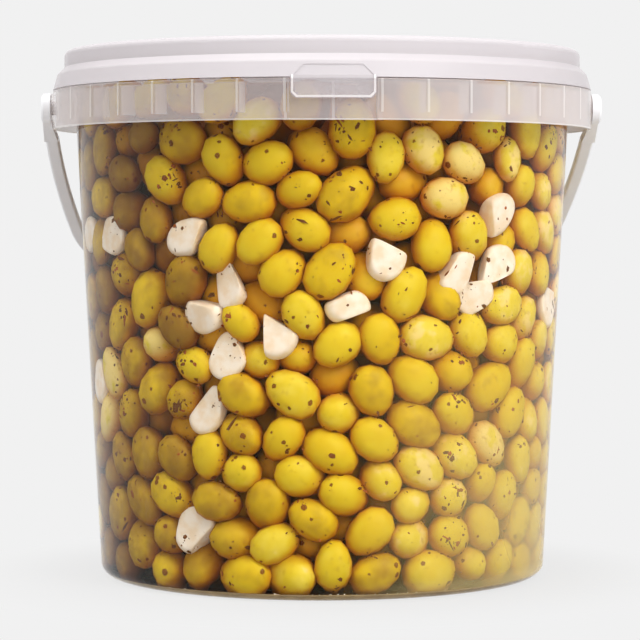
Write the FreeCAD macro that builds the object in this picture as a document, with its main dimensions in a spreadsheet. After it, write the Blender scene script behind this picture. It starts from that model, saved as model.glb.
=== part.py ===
import FreeCAD, Part
import math
import os
import Sketcher

# Bucket of green olives: a clear moulded pail with a push-on lid and a folding bail handle.
#
# Millimetres, +Z up.  The origin is on the pail's axis, in the plane that it stands on; the bail's
# ears are at -X and +X, and the lid's pull tab is at the front, -Y.  Every size is a cell of the
# sheet, and each piece is bound to those cells, so that the lid, the ribs, the ears, the bail and
# the contents follow the pail.

os.makedirs("parts", exist_ok=True)
doc = FreeCAD.newDocument("OliveBucket")

# ---------------------------------------------------------------- sizes
SIZES = [
    # alias, value, what it is
    ("base_radius", "98.7", "outer radius of the wall's line in the plane it stands on"),
    ("wall_draft", "3.09", "lean of the wall from upright, degrees"),
    ("rim_height", "230.9", "top of the pail's rim"),
    ("wall", "1.4", "thickness of the pail's wall"),
    ("base_thickness", "1.8", "thickness of the pail's base"),
    ("base_lift", "1.2", "how far the middle of the base stands clear of the ground"),
    ("foot_width", "7.5", "width of the ring that the pail stands on"),
    ("corner_radius", "6", "outer radius between wall and base"),
    ("rim_bead", "1.7", "how far the rim's bead stands out from the wall"),
    ("rim_bead_height", "4.5", "height of the rim's bead"),
    ("collar_reach", "9.2", "how far the collar stands out from the wall at its top"),
    ("collar_drop", "16.1", "how far the collar's top is below the rim"),
    ("collar_height", "16.8", "height of the collar"),
    ("collar_wall", "1.3", "thickness of the collar's skin and of its web"),
    ("rib_thickness", "1.1", "thickness of a rib under the collar"),
    ("rib_pitches", "38", "spaces round the collar, one of them double for the tab"),
    ("rib_drop", "12.2", "height of a rib under the web"),
    ("panel_setback", "1.6", "how far the collar is set back behind the tab"),
    ("panel_end_angle", "1.2", "angle of the wall at each end of the set-back panel"),
    ("lid_wall", "1.3", "thickness of the lid"),
    ("lid_recess", "7.6", "depth of the lid's panel below its top"),
    ("lid_top_radius", "2.6", "rounding of the lid's outer top edge"),
    ("ledge_drop", "7.5", "height of the lid's upright band"),
    ("shoulder_run", "3.1", "how far the lid steps out under its ledge"),
    ("shoulder_drop", "3", "how far the lid drops while it steps out"),
    ("skirt_gap", "0.5", "gap between the lid's lower edge and the collar"),
    ("ring_inner", "58", "inner radius of the stiffening ring in the lid"),
    ("ring_width", "5", "width of that ring"),
    ("ring_rise", "1.2", "height of that ring"),
    ("gutter_width", "9", "width of the gutter round the lid's panel"),
    ("gutter_drop", "1.1", "depth of that gutter"),
    ("tab_half_angle", "8.4", "half the angle of the lid's pull tab"),
    ("tab_side_angle", "0.15", "angle between each side of the tab and its recess"),
    ("tab_drop", "8.6", "how far the pull tab hangs below the lid"),
    ("tab_corner", "3", "rounding of the pull tab's corners"),
    ("line_width", "0.8", "width of the raised line round the pull tab"),
    ("line_rise", "0.45", "height of that line"),
    ("line_taper", "4.6", "how much narrower each side of the line is at its top"),
    ("fit_gap", "0.3", "clearance of pieces that sit in or on each other"),
    ("running_gap", "0.05", "radial clearance of the bail's studs"),
    ("ear_radius", "6.6", "radius of the boss round each pivot"),
    ("ear_drop", "0.6", "how far the boss's top is below the collar's"),
    ("ear_rise", "0.9", "how far that boss stands out from the collar"),
    ("ear_depth", "3.4", "length of the boss and of the hole through it"),
    ("stud_radius", "3", "radius of the bail's studs"),
    ("head_rise", "0.6", "how much wider the stud's head is"),
    ("head_length", "1.4", "length of the stud's head"),
    ("hub_radius", "6.6", "radius of the bail's hubs"),
    ("hub_thickness", "4", "thickness of the bail's hubs"),
    ("strap_width", "6", "width of the bail's strap in the bail's plane"),
    ("strap_depth", "4.2", "thickness of the strap across that plane"),
    ("strap_rounding", "1.2", "rounding of the strap's long edges"),
    ("neck_length", "21", "length of the neck from the pivot to the strap"),
    ("side_radius", "460", "radius of the bail's long side arcs"),
    ("bend_radius", "54", "radius of the bail's two bends"),
    ("crown_rise", "8", "how far the crown arc rises over the bends"),
    ("bail_reach", "20.5", "how far the bail's crown reaches past the collar's radius"),
    ("grip_half_length", "44", "half the length of the grip"),
    ("grip_width", "7.6", "width of the grip in the bail's plane"),
    ("grip_depth", "9", "width of the grip across that plane"),
    ("wall_clearance", "0.4", "gap between the hanging bail and the wall"),
    ("fill_drop", "17.4", "how far the brine's level is below the rim"),
    ("contents_gap", "0.3", "gap between the contents' solid and the pail"),
    ("olive_width", "19", "width of a topmost olive"),
    ("olive_rise", "3.8", "how far the top olives stand out of the brine"),
    ("dome_margin", "16.2", "gap between the outer ring of top olives and the wall"),
]

DERIVED = [
    ("wall_slope", "=tan(wall_draft * 1deg)"),
    ("rim_radius", "=base_radius + rim_height * wall_slope + rim_bead"),
    ("collar_top", "=rim_height - collar_drop"),
    ("collar_radius", "=base_radius + collar_top * wall_slope + collar_reach"),
    ("web_low", "=collar_top - collar_wall"),
    ("collar_low", "=collar_top - collar_height"),
    ("rib_low", "=web_low - rib_drop"),
    ("rib_pitch", "=360 / rib_pitches"),
    ("lid_top", "=rim_height + fit_gap + lid_wall"),
    ("ledge_height", "=lid_top - ledge_drop"),
    ("band_radius", "=rim_radius + fit_gap + lid_wall"),
    ("shoulder_radius", "=band_radius + shoulder_run"),
    ("shoulder_height", "=ledge_height - shoulder_drop"),
    ("skirt_low", "=collar_top + skirt_gap"),
    ("panel_top", "=lid_top - lid_recess"),
    ("panel_low", "=panel_top - lid_wall"),
    ("tab_low", "=skirt_low - tab_drop"),
    ("panel_half_angle", "=tab_half_angle + tab_side_angle"),
    ("pivot_height", "=collar_top - ear_drop - ear_radius"),
    ("ear_face", "=collar_radius + ear_rise"),
    ("bail_half_span", "=ear_face + fit_gap + hub_thickness / 2"),
    # The strap comes inwards past the hub, so its middle is further in by half the difference.
    ("strap_half_span", "=bail_half_span - (strap_width - hub_thickness) / 2"),
    # The bail's arcs: the side arc is centred on the pivots' line, the crown arc on the middle
    # line, and the bend's arc touches them both.
    ("bail_height", "=collar_radius + bail_reach"),
    ("bend_z", "=bail_height - crown_rise - bend_radius"),
    ("bend_x", "=strap_half_span - side_radius + sqrt((side_radius - bend_radius)^2 - bend_z^2)"),
    ("crown_radius", "=bend_radius + (bend_x^2 + crown_rise^2) / (2 * crown_rise)"),
    # How far the bail swings back from hanging straight down before its grip meets the wall.
    ("grip_inner", "=bail_height - grip_width / 2"),
    ("reach_a", "=grip_inner + grip_depth / 2 * wall_slope"),
    ("reach_b", "=grip_inner * wall_slope - grip_depth / 2"),
    ("brine_height", "=rim_height - fill_drop"),
    ("reach_wall", "=base_radius + pivot_height * wall_slope + wall_clearance"),
    ("rest_tilt", "=asin(reach_wall / sqrt(reach_a^2 + reach_b^2)) - atan(reach_b / reach_a)"),
]

sheet = doc.addObject("Spreadsheet::Sheet", "Sizes")
for row, (alias, value, meaning) in enumerate(SIZES, start=1):
    sheet.set(f"A{row}", meaning)
    sheet.set(f"B{row}", value)
    sheet.setAlias(f"B{row}", alias)
for row, (alias, formula) in enumerate(DERIVED, start=len(SIZES) + 1):
    sheet.set(f"B{row}", formula)
    sheet.setAlias(f"B{row}", alias)
doc.recompute()


def cell(alias):
    """The present value of a cell, as a plain number."""
    value = getattr(sheet, alias)
    return float(getattr(value, "Value", value))


def number(expression):
    """The present value of an expression on the sheet."""
    value = sheet.evalExpression(expression)
    return float(getattr(value, "Value", value))


def wall_at(height, inset="0"):
    """Expression for the wall's outer radius at a height, less an inset."""
    return f"Sizes.base_radius + ({height}) * Sizes.wall_slope - ({inset})"


# ---------------------------------------------------------------- helpers
def plane(body, role):
    """One of the body's own origin planes or axes."""
    return next(item for item in body.Origin.OriginFeatures if item.Role == role)


def upright_sketch(body, name, azimuth="0"):
    """An empty sketch in the upright plane through the Z axis at an azimuth from +X."""
    sketch = body.newObject("Sketcher::SketchObject", name)
    sketch.AttachmentSupport = [(plane(body, "XZ_Plane"), "")]
    sketch.MapMode = "FlatFace"
    sketch.AttachmentOffset = FreeCAD.Placement(
        FreeCAD.Vector(0, 0, 0), FreeCAD.Rotation(FreeCAD.Vector(0, 1, 0), number(azimuth)))
    if azimuth != "0":
        sketch.setExpression("AttachmentOffset.Rotation.Angle", f"({azimuth}) * 1deg")
    return sketch


def bind(sketch, kind, *where, size):
    """A dimension of a sketch, bound to an expression on the sheet."""
    index = sketch.addConstraint(Sketcher.Constraint(kind, *where, number(size)))
    sketch.setExpression(f"Constraints[{index}]", size)


def polygon(sketch, corners):
    """A closed polygon whose corners are pairs of expressions, measured from the sketch's origin."""
    points = [FreeCAD.Vector(number(x), number(y), 0) for x, y in corners]
    first = sketch.GeometryCount
    count = len(points)
    for i in range(count):
        sketch.addGeometry(Part.LineSegment(points[i], points[(i + 1) % count]), False)
    for i in range(count):
        sketch.addConstraint(
            Sketcher.Constraint("Coincident", first + i, 2, first + (i + 1) % count, 1))
    for i, (x, y) in enumerate(corners):
        if x == "0":
            sketch.addConstraint(Sketcher.Constraint("PointOnObject", first + i, 1, -2))
        else:
            bind(sketch, "DistanceX", -1, 1, first + i, 1, size=x)
        if y == "0":
            sketch.addConstraint(Sketcher.Constraint("PointOnObject", first + i, 1, -1))
        else:
            bind(sketch, "DistanceY", -1, 1, first + i, 1, size=y)


def turned(body, kind, name, corners, azimuth="0", angle="360"):
    """A Revolution or Groove of a polygon of (radius, height) about the Z axis.

    A part turn is centred on its azimuth.
    """
    sketch = upright_sketch(body, name + "Outline", azimuth)
    polygon(sketch, corners)
    feature = body.newObject(f"PartDesign::{kind}", name)
    feature.Profile = sketch
    feature.ReferenceAxis = (sketch, ["V_Axis"])
    feature.Angle = number(angle)
    if angle != "360":
        feature.Midplane = True
        feature.setExpression("Angle", f"({angle}) * 1deg")
    doc.recompute()
    return feature


def ring_edges(shape, spots, tolerance=0.02):
    """Names of the circular edges about the Z axis at the given (radius, height) spots."""
    names = []
    for index, edge in enumerate(shape.Edges, start=1):
        if not isinstance(edge.Curve, Part.Circle):
            continue
        centre = edge.Curve.Center
        if abs(centre.x) > tolerance or abs(centre.y) > tolerance:
            continue
        for radius, height in spots:
            if abs(edge.Curve.Radius - radius) < tolerance and abs(centre.z - height) < tolerance:
                names.append(f"Edge{index}")
    return names


def rounded(body, name, base, spots, radius):
    """A Fillet on the ring edges of a feature at spots given as expression pairs."""
    doc.recompute()
    names = ring_edges(base.Shape, [(number(r), number(z)) for r, z in spots])
    if not names:
        raise ValueError(f"{name}: no edge found")
    fillet = body.newObject("PartDesign::Fillet", name)
    fillet.Base = (base, names)
    fillet.setExpression("Radius", radius)
    doc.recompute()
    return fillet


# ---------------------------------------------------------------- pail
SIDES = (("Left", -1), ("Right", 1))


def make_pail():
    """Tapered pail with a foot ring, a beaded rim, a ribbed collar and an ear at each side."""
    body = doc.addObject("PartDesign::Body", "PailMoulding")
    floor_top = "Sizes.base_lift + Sizes.base_thickness"
    rim_low = "Sizes.rim_height - Sizes.rim_bead_height"
    skin_inner = "Sizes.collar_radius - Sizes.collar_wall"
    foot_inner = "Sizes.base_radius - Sizes.corner_radius - Sizes.foot_width"
    shell = turned(body, "Revolution", "PailShell", [
        ("0", "Sizes.base_lift"),
        (foot_inner + " - Sizes.base_lift", "Sizes.base_lift"),
        (foot_inner, "0"),
        ("Sizes.base_radius", "0"),
        (wall_at("Sizes.web_low"), "Sizes.web_low"),
        (skin_inner, "Sizes.web_low"),
        (skin_inner, "Sizes.collar_low"),
        ("Sizes.collar_radius", "Sizes.collar_low"),
        ("Sizes.collar_radius", "Sizes.collar_top"),
        (wall_at("Sizes.collar_top"), "Sizes.collar_top"),
        (wall_at(rim_low), rim_low),
        ("Sizes.rim_radius", rim_low + " + Sizes.rim_bead / 2"),
        ("Sizes.rim_radius", "Sizes.rim_height"),
        (wall_at("Sizes.rim_height", "Sizes.wall"), "Sizes.rim_height"),
        (wall_at(floor_top, "Sizes.wall"), floor_top),
        ("0", floor_top),
    ])
    shell = rounded(body, "BaseCorner", shell, [("Sizes.base_radius", "0")], "Sizes.corner_radius")
    shell = rounded(body, "FloorCorner", shell, [(wall_at(floor_top, "Sizes.wall"), floor_top)],
                    "Sizes.corner_radius - Sizes.wall")
    shell = rounded(body, "RimTop", shell,
                    [("Sizes.rim_radius", "Sizes.rim_height")], "Sizes.rim_bead * 0.6")
    rounded(body, "CollarEdges", shell,
            [("Sizes.collar_radius", "Sizes.collar_top"),
             ("Sizes.collar_radius", "Sizes.collar_low")], "Sizes.collar_wall * 0.35")

    # Behind the tab the skin is thickened inwards, and its outside is cut back after the ribs.
    turned(body, "Revolution", "TabPanel", [
        (skin_inner + " - Sizes.panel_setback", "Sizes.collar_low"),
        (skin_inner + " + Sizes.collar_wall / 2", "Sizes.collar_low"),
        (skin_inner + " + Sizes.collar_wall / 2", "Sizes.web_low + Sizes.collar_wall / 2"),
        (skin_inner + " - Sizes.panel_setback", "Sizes.web_low + Sizes.collar_wall / 2"),
    ], azimuth="-90", angle="2 * (Sizes.panel_half_angle + Sizes.panel_end_angle)")

    # Ribs between wall and collar, one at each pitch but not behind the tab.
    sketch = upright_sketch(body, "RibOutline", "-90 + Sizes.rib_pitch")
    polygon(sketch, [
        (wall_at("Sizes.rib_low", "Sizes.wall / 2"), "Sizes.rib_low"),
        (skin_inner + " + Sizes.collar_wall / 2", "Sizes.rib_low"),
        (skin_inner + " + Sizes.collar_wall / 2", "Sizes.web_low + Sizes.collar_wall / 2"),
        (wall_at("Sizes.web_low", "Sizes.wall / 2"), "Sizes.web_low + Sizes.collar_wall / 2"),
    ])
    rib = body.newObject("PartDesign::Pad", "Rib")
    rib.Profile = sketch
    rib.Midplane = True
    rib.setExpression("Length", "Sizes.rib_thickness")
    doc.recompute()
    ribs = body.newObject("PartDesign::PolarPattern", "Ribs")
    ribs.Originals = [rib]
    ribs.Axis = (plane(body, "Z_Axis"), [""])
    ribs.setExpression("Occurrences", "Sizes.rib_pitches - 1")
    ribs.setExpression("Angle", "(Sizes.rib_pitches - 2) * Sizes.rib_pitch * 1deg")
    body.Tip = ribs
    doc.recompute()
    turned(body, "Groove", "TabRecess", [
        ("Sizes.collar_radius - Sizes.panel_setback", "Sizes.collar_low - 1"),
        ("Sizes.collar_radius + 1", "Sizes.collar_low - 1"),
        ("Sizes.collar_radius + 1", "Sizes.collar_top + 1"),
        ("Sizes.collar_radius - Sizes.panel_setback", "Sizes.collar_top + 1"),
    ], azimuth="-90", angle="2 * Sizes.panel_half_angle")

    fused = doc.addObject("Part::MultiFuse", "PailWithEars")
    fused.Shapes = [body] + [ear_cylinder("Ear" + side, sign, "Sizes.ear_radius", "Sizes.ear_depth")
                             for side, sign in SIDES]
    holes = doc.addObject("Part::MultiFuse", "EarHoles")
    holes.Shapes = [ear_cylinder("EarHole" + side, sign, "Sizes.stud_radius + Sizes.running_gap",
                                 "Sizes.ear_depth + 2", "1") for side, sign in SIDES]
    pail = doc.addObject("Part::Cut", "Pail")
    pail.Base = fused
    pail.Tool = holes
    pail.Label = "pail"
    return pail


def ear_cylinder(name, sign, radius, length, past="0"):
    """A cylinder on the pivots' line that ends at the ear's face, or past it by a little."""
    cylinder = doc.addObject("Part::Cylinder", name)
    cylinder.setExpression("Radius", radius)
    cylinder.setExpression("Height", length)
    cylinder.Placement = FreeCAD.Placement(
        FreeCAD.Vector(0, 0, 0), FreeCAD.Rotation(FreeCAD.Vector(0, 1, 0), 90))
    inner_end = f"Sizes.ear_face + {past} - ({length})"
    low_end = inner_end if sign > 0 else f"-(Sizes.ear_face + {past})"
    cylinder.setExpression("Placement.Base.x", low_end)
    cylinder.setExpression("Placement.Base.z", "Sizes.pivot_height")
    return cylinder


# ---------------------------------------------------------------- lid
def skirt_outside(rise="0"):
    """Corners of the lid's outer face from its ledge down to its lower edge, moved outwards."""
    return [
        (f"Sizes.band_radius + {rise}", "Sizes.ledge_height"),
        (f"Sizes.shoulder_radius + {rise}", "Sizes.shoulder_height"),
        (f"Sizes.collar_radius + {rise}", "Sizes.skirt_low"),
    ]


def make_lid():
    """Push-on lid: recessed panel, a bead over the rim, a stepped skirt and a pull tab."""
    body = doc.addObject("PartDesign::Body", "LidMoulding")
    plug_low = wall_at("Sizes.panel_low - Sizes.gutter_drop", "Sizes.wall + Sizes.fit_gap")
    plug_high = wall_at("Sizes.rim_height", "Sizes.wall + Sizes.fit_gap")
    bead_low = "Sizes.rim_height - Sizes.rim_bead_height"
    gutter = "Sizes.gutter_drop"
    ring_outer = "Sizes.ring_inner + Sizes.ring_width"
    ring_out_top = "Sizes.ring_inner + Sizes.ring_width - Sizes.ring_rise"
    ring_in_top = "Sizes.ring_inner + Sizes.ring_rise"
    under = [
        ("0", "Sizes.panel_low"),
        ("Sizes.ring_inner", "Sizes.panel_low"),
        (ring_in_top, "Sizes.panel_low + Sizes.ring_rise"),
        (ring_out_top, "Sizes.panel_low + Sizes.ring_rise"),
        (ring_outer, "Sizes.panel_low"),
        (plug_low + " - Sizes.gutter_width", "Sizes.panel_low"),
        (plug_low + " - Sizes.gutter_width + " + gutter, "Sizes.panel_low - " + gutter),
        (plug_low, "Sizes.panel_low - " + gutter),
        (plug_high, "Sizes.rim_height + Sizes.fit_gap"),
        ("Sizes.rim_radius + Sizes.fit_gap", "Sizes.rim_height + Sizes.fit_gap"),
        ("Sizes.rim_radius + Sizes.fit_gap", bead_low + " + Sizes.rim_bead / 2 - Sizes.fit_gap"),
        ("Sizes.rim_radius - Sizes.rim_bead / 2", bead_low + " - Sizes.fit_gap"),
        ("Sizes.rim_radius - Sizes.rim_bead / 2", bead_low + " - Sizes.fit_gap - Sizes.lid_wall / 2"),
        ("Sizes.shoulder_radius - Sizes.lid_wall", "Sizes.shoulder_height - Sizes.lid_wall / 2"),
        ("Sizes.collar_radius - Sizes.lid_wall", "Sizes.skirt_low"),
    ]
    over = [
        ("Sizes.band_radius", "Sizes.lid_top"),
        (plug_high + " - Sizes.lid_wall", "Sizes.lid_top"),
        (plug_low + " - Sizes.lid_wall", "Sizes.panel_top - " + gutter),
        (plug_low + " - Sizes.gutter_width + " + gutter, "Sizes.panel_top - " + gutter),
        (plug_low + " - Sizes.gutter_width", "Sizes.panel_top"),
        (ring_outer, "Sizes.panel_top"),
        (ring_out_top, "Sizes.panel_top + Sizes.ring_rise"),
        (ring_in_top, "Sizes.panel_top + Sizes.ring_rise"),
        ("Sizes.ring_inner", "Sizes.panel_top"),
        ("0", "Sizes.panel_top"),
    ]
    shell = turned(body, "Revolution", "LidShell", under + skirt_outside()[::-1] + over)
    shell = rounded(body, "LidTopOuter", shell, [("Sizes.band_radius", "Sizes.lid_top")],
                    "Sizes.lid_top_radius")
    shell = rounded(body, "LidTopInner", shell, [(plug_high + " - Sizes.lid_wall", "Sizes.lid_top")],
                    "Sizes.lid_wall")
    rounded(body, "LidShoulder", shell, [("Sizes.shoulder_radius", "Sizes.shoulder_height")],
            "Sizes.lid_wall")
    tab_inner = "Sizes.collar_radius - Sizes.panel_setback + Sizes.fit_gap"
    tab = turned(body, "Revolution", "PullTab", [
        (tab_inner, "Sizes.tab_low"),
        ("Sizes.collar_radius", "Sizes.tab_low"),
        ("Sizes.collar_radius", "Sizes.skirt_low + Sizes.lid_wall / 2"),
        (tab_inner, "Sizes.skirt_low + Sizes.lid_wall / 2"),
    ], azimuth="-90", angle="2 * Sizes.tab_half_angle")
    corners = []
    for index, edge in enumerate(tab.Shape.Edges, start=1):
        ends = edge.Vertexes
        low_ends = [abs(vertex.Z - cell("tab_low")) < 0.01 for vertex in ends]
        if len(ends) == 2 and all(low_ends) and isinstance(edge.Curve, Part.Line):
            corners.append(f"Edge{index}")
    tab_corners = body.newObject("PartDesign::Fillet", "TabCorners")
    tab_corners.Base = (tab, corners)
    tab_corners.setExpression("Radius", "Sizes.tab_corner")
    doc.recompute()

    lid = doc.addObject("Part::Fuse", "Lid")
    lid.Base = body
    lid.Tool = make_tab_line()
    lid.Label = "lid"
    return lid


def make_tab_line():
    """Raised line round the tab: a flat outline pushed through a thin skin over the skirt."""
    skin = doc.addObject("PartDesign::Body", "TabLineSkin")
    rise = skirt_outside("Sizes.line_rise")
    tab_rise = ("Sizes.collar_radius + Sizes.line_rise", "Sizes.tab_low")
    turned(skin, "Revolution", "TabLineShell",
           [rise[0], rise[1], rise[2], tab_rise,
            ("Sizes.collar_radius - 0.3", "Sizes.tab_low"),
            ("Sizes.collar_radius - 0.3", "Sizes.skirt_low"),
            ("Sizes.shoulder_radius - 0.3", "Sizes.shoulder_height - 0.3"),
            ("Sizes.band_radius - 0.3", "Sizes.ledge_height - 0.3")],
           azimuth="-90", angle="4 * Sizes.tab_half_angle")

    outline = doc.addObject("PartDesign::Body", "TabLineOutline")
    sketch = outline.newObject("Sketcher::SketchObject", "TabLinePlan")
    sketch.AttachmentSupport = [(plane(outline, "XZ_Plane"), "")]
    sketch.MapMode = "FlatFace"
    half = "Sizes.collar_radius * sin(Sizes.tab_half_angle * 1deg) - 0.4"
    bend = "Sizes.skirt_low + 1"
    top = "Sizes.shoulder_height - 0.8"
    # Right half of the plan as a band; the left half is its mirror image.
    outer = [("0", "Sizes.tab_low + 0.3"), (half + " - 2", "Sizes.tab_low + 0.3"),
             (half, "Sizes.tab_low + 2.3"), (half, bend), (half + " - Sizes.line_taper", top), ("0", top)]
    width = "Sizes.line_width"
    inner = [("0", top + " - " + width), (half + " - Sizes.line_taper - 0.45", top + " - " + width),
             (half + " - " + width, bend + " - 0.2"), (half + " - " + width, "Sizes.tab_low + 2.7"),
             (half + " - 2.4", "Sizes.tab_low + 0.3 + " + width), ("0", "Sizes.tab_low + 0.3 + " + width)]
    polygon(sketch, outer + inner)
    pad = outline.newObject("PartDesign::Pad", "TabLinePad")
    pad.Profile = sketch
    pad.setExpression("Length", "Sizes.collar_radius * 1.1")
    doc.recompute()
    mirrored = outline.newObject("PartDesign::Mirrored", "TabLineMirror")
    mirrored.Originals = [pad]
    mirrored.MirrorPlane = (plane(outline, "YZ_Plane"), [""])
    outline.Tip = mirrored
    doc.recompute()

    line = doc.addObject("Part::Common", "TabLine")
    line.Base = skin
    line.Tool = outline
    return line


# ---------------------------------------------------------------- handle
def bail_arc(sketch, centre, radius, start, end):
    """Add an arc to a sketch from rough values; its constraints then set it exactly."""
    circle = Part.Circle(FreeCAD.Vector(centre[0], centre[1], 0), FreeCAD.Vector(0, 0, 1), radius)
    return sketch.addGeometry(Part.ArcOfCircle(circle, start, end), False)


def bar_section(body, name, height, depth, width):
    """A rectangle with rounded corners in the middle plane of the bail, at a height over its pivots."""
    sketch = body.newObject("Sketcher::SketchObject", name)
    sketch.AttachmentSupport = [(plane(body, "YZ_Plane"), "")]
    sketch.MapMode = "FlatFace"
    sketch.AttachmentOffset = FreeCAD.Placement(
        FreeCAD.Vector(0, number(height), 0), FreeCAD.Rotation())
    sketch.setExpression("AttachmentOffset.Base.y", height)
    rounding = cell("strap_rounding")
    x = number(depth) / 2 - rounding
    y = number(width) / 2 - rounding
    centres = [(x, -y), (x, y), (-x, y), (-x, -y)]
    # Four sides and four corner arcs, in turn: side 2i runs up to arc 2i + 1.
    for i, (cx, cy) in enumerate(centres):
        px, py = centres[i - 1]
        turn = math.pi / 2 * (i - 1)
        out_x = rounding * math.cos(turn)
        out_y = rounding * math.sin(turn)
        sketch.addGeometry(Part.LineSegment(FreeCAD.Vector(px + out_x, py + out_y, 0),
                                            FreeCAD.Vector(cx + out_x, cy + out_y, 0)), False)
        circle = Part.Circle(FreeCAD.Vector(cx, cy, 0), FreeCAD.Vector(0, 0, 1), rounding)
        sketch.addGeometry(Part.ArcOfCircle(circle, turn, turn + math.pi / 2), False)
    for i in range(4):
        side, arc, following = 2 * i, 2 * i + 1, (2 * i + 2) % 8
        sketch.addConstraint(Sketcher.Constraint("Tangent", side, 2, arc, 1))
        sketch.addConstraint(Sketcher.Constraint("Tangent", arc, 2, following, 1))
        if i:
            sketch.addConstraint(Sketcher.Constraint("Equal", 1, arc))
    for side in (0, 4):
        sketch.addConstraint(Sketcher.Constraint("Horizontal", side))
        sketch.addConstraint(Sketcher.Constraint("Vertical", side + 2))
    sketch.addConstraint(Sketcher.Constraint("Symmetric", 1, 3, 5, 3, -1, 1))
    bind(sketch, "Radius", 1, size="Sizes.strap_rounding")
    bind(sketch, "DistanceX", 5, 3, 1, 3, size=f"{depth} - 2 * Sizes.strap_rounding")
    bind(sketch, "DistanceY", 1, 3, 3, 3, size=f"{width} - 2 * Sizes.strap_rounding")
    return sketch


def make_handle():
    """Folding bail, drawn standing up on its pivots' line and then turned down to the back."""
    body = doc.addObject("PartDesign::Body", "HandleMoulding")

    # Hub, stud and stud head, turned about the pivots' line.
    sketch = upright_sketch(body, "HubOutline")
    hub_inner = "Sizes.ear_face + Sizes.fit_gap"
    ear_inner = "Sizes.ear_face - Sizes.ear_depth"
    head = "Sizes.stud_radius + Sizes.head_rise"
    polygon(sketch, [
        (ear_inner + " - Sizes.fit_gap - Sizes.head_length", "0"),
        (ear_inner + " - Sizes.fit_gap - Sizes.head_length", "Sizes.stud_radius * 0.7"),
        (ear_inner + " - Sizes.fit_gap - Sizes.head_length / 2", head),
        (ear_inner + " - Sizes.fit_gap", head),
        (ear_inner + " - Sizes.fit_gap", "Sizes.stud_radius"),
        (hub_inner, "Sizes.stud_radius"),
        (hub_inner, "Sizes.hub_radius"),
        (hub_inner + " + Sizes.hub_thickness - 0.8", "Sizes.hub_radius"),
        (hub_inner + " + Sizes.hub_thickness", "Sizes.hub_radius - 0.8"),
        (hub_inner + " + Sizes.hub_thickness", "0"),
    ])
    hub = body.newObject("PartDesign::Revolution", "Hub")
    hub.Profile = sketch
    hub.ReferenceAxis = (sketch, ["H_Axis"])
    hub.Angle = 360
    doc.recompute()

    # Neck: it widens inwards from the hub to the strap, clear of the ear.
    sketch = upright_sketch(body, "NeckOutline")
    hub_outer = hub_inner + " + Sizes.hub_thickness"
    strap_outer = "Sizes.strap_half_span + Sizes.strap_width / 2"
    strap_inner = "Sizes.strap_half_span - Sizes.strap_width / 2"
    polygon(sketch, [
        (hub_inner, "0"),
        (hub_outer, "0"),
        (strap_outer, "Sizes.neck_length"),
        (strap_inner, "Sizes.neck_length"),
        (hub_inner, "Sizes.ear_radius + Sizes.fit_gap + 3"),
    ])
    neck = body.newObject("PartDesign::Pad", "Neck")
    neck.Profile = sketch
    neck.Midplane = True
    neck.setExpression("Length", "Sizes.strap_depth")
    doc.recompute()

    # Strap: one half, along a side arc, a bend and half of the crown arc, then mirrored.
    path = upright_sketch(body, "StrapPath")
    side = cell("side_radius")
    bend = cell("bend_radius")
    crown = cell("crown_radius")
    bend_x = cell("bend_x")
    bend_z = cell("bend_z")
    side_end = math.asin(bend_z / (side - bend))
    crown_z = cell("bail_height") - crown
    bend_end = math.atan2(bend_z - crown_z, bend_x)
    first = bail_arc(path, (cell("strap_half_span") - side, 0), side,
                     math.asin(cell("neck_length") / side), side_end)
    second = bail_arc(path, (bend_x, bend_z), bend, side_end, bend_end)
    third = bail_arc(path, (0, crown_z), crown, bend_end, math.pi / 2)
    path.addConstraint(Sketcher.Constraint("PointOnObject", first, 3, -1))
    bind(path, "Radius", first, size="Sizes.side_radius")
    bind(path, "DistanceX", first, 3, -1, 1, size="Sizes.side_radius - Sizes.strap_half_span")
    bind(path, "DistanceY", -1, 1, first, 1, size="Sizes.neck_length")
    path.addConstraint(Sketcher.Constraint("Tangent", first, 2, second, 1))
    bind(path, "Radius", second, size="Sizes.bend_radius")
    path.addConstraint(Sketcher.Constraint("Tangent", second, 2, third, 1))
    path.addConstraint(Sketcher.Constraint("PointOnObject", third, 3, -2))
    path.addConstraint(Sketcher.Constraint("PointOnObject", third, 2, -2))
    bind(path, "DistanceY", -1, 1, third, 2, size="Sizes.bail_height")
    bind(path, "Radius", third, size="Sizes.crown_radius")
    section = bar_section(body, "StrapSection", "Sizes.bail_height",
                          "Sizes.strap_depth", "Sizes.strap_width")
    strap = body.newObject("PartDesign::AdditivePipe", "Strap")
    strap.Profile = section
    strap.Spine = (path, [])
    doc.recompute()

    # Grip: a wider bar on the crown arc, drawn the same way.
    path = upright_sketch(body, "GripPath")
    reach = math.acos(cell("grip_half_length") / crown)
    grip_arc = bail_arc(path, (0, crown_z), crown, reach, math.pi / 2)
    path.addConstraint(Sketcher.Constraint("PointOnObject", grip_arc, 3, -2))
    path.addConstraint(Sketcher.Constraint("PointOnObject", grip_arc, 2, -2))
    bind(path, "Radius", grip_arc, size="Sizes.crown_radius")
    bind(path, "DistanceY", -1, 1, grip_arc, 2, size="Sizes.bail_height")
    bind(path, "DistanceX", -1, 1, grip_arc, 1, size="Sizes.grip_half_length")
    section = bar_section(body, "GripSection", "Sizes.bail_height",
                          "Sizes.grip_depth", "Sizes.grip_width")
    grip = body.newObject("PartDesign::AdditivePipe", "Grip")
    grip.Profile = section
    grip.Spine = (path, [])
    doc.recompute()

    mirrored = body.newObject("PartDesign::Mirrored", "OtherHalf")
    mirrored.Originals = [hub, neck, strap, grip]
    mirrored.MirrorPlane = (plane(body, "YZ_Plane"), [""])
    body.Tip = mirrored
    doc.recompute()

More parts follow.
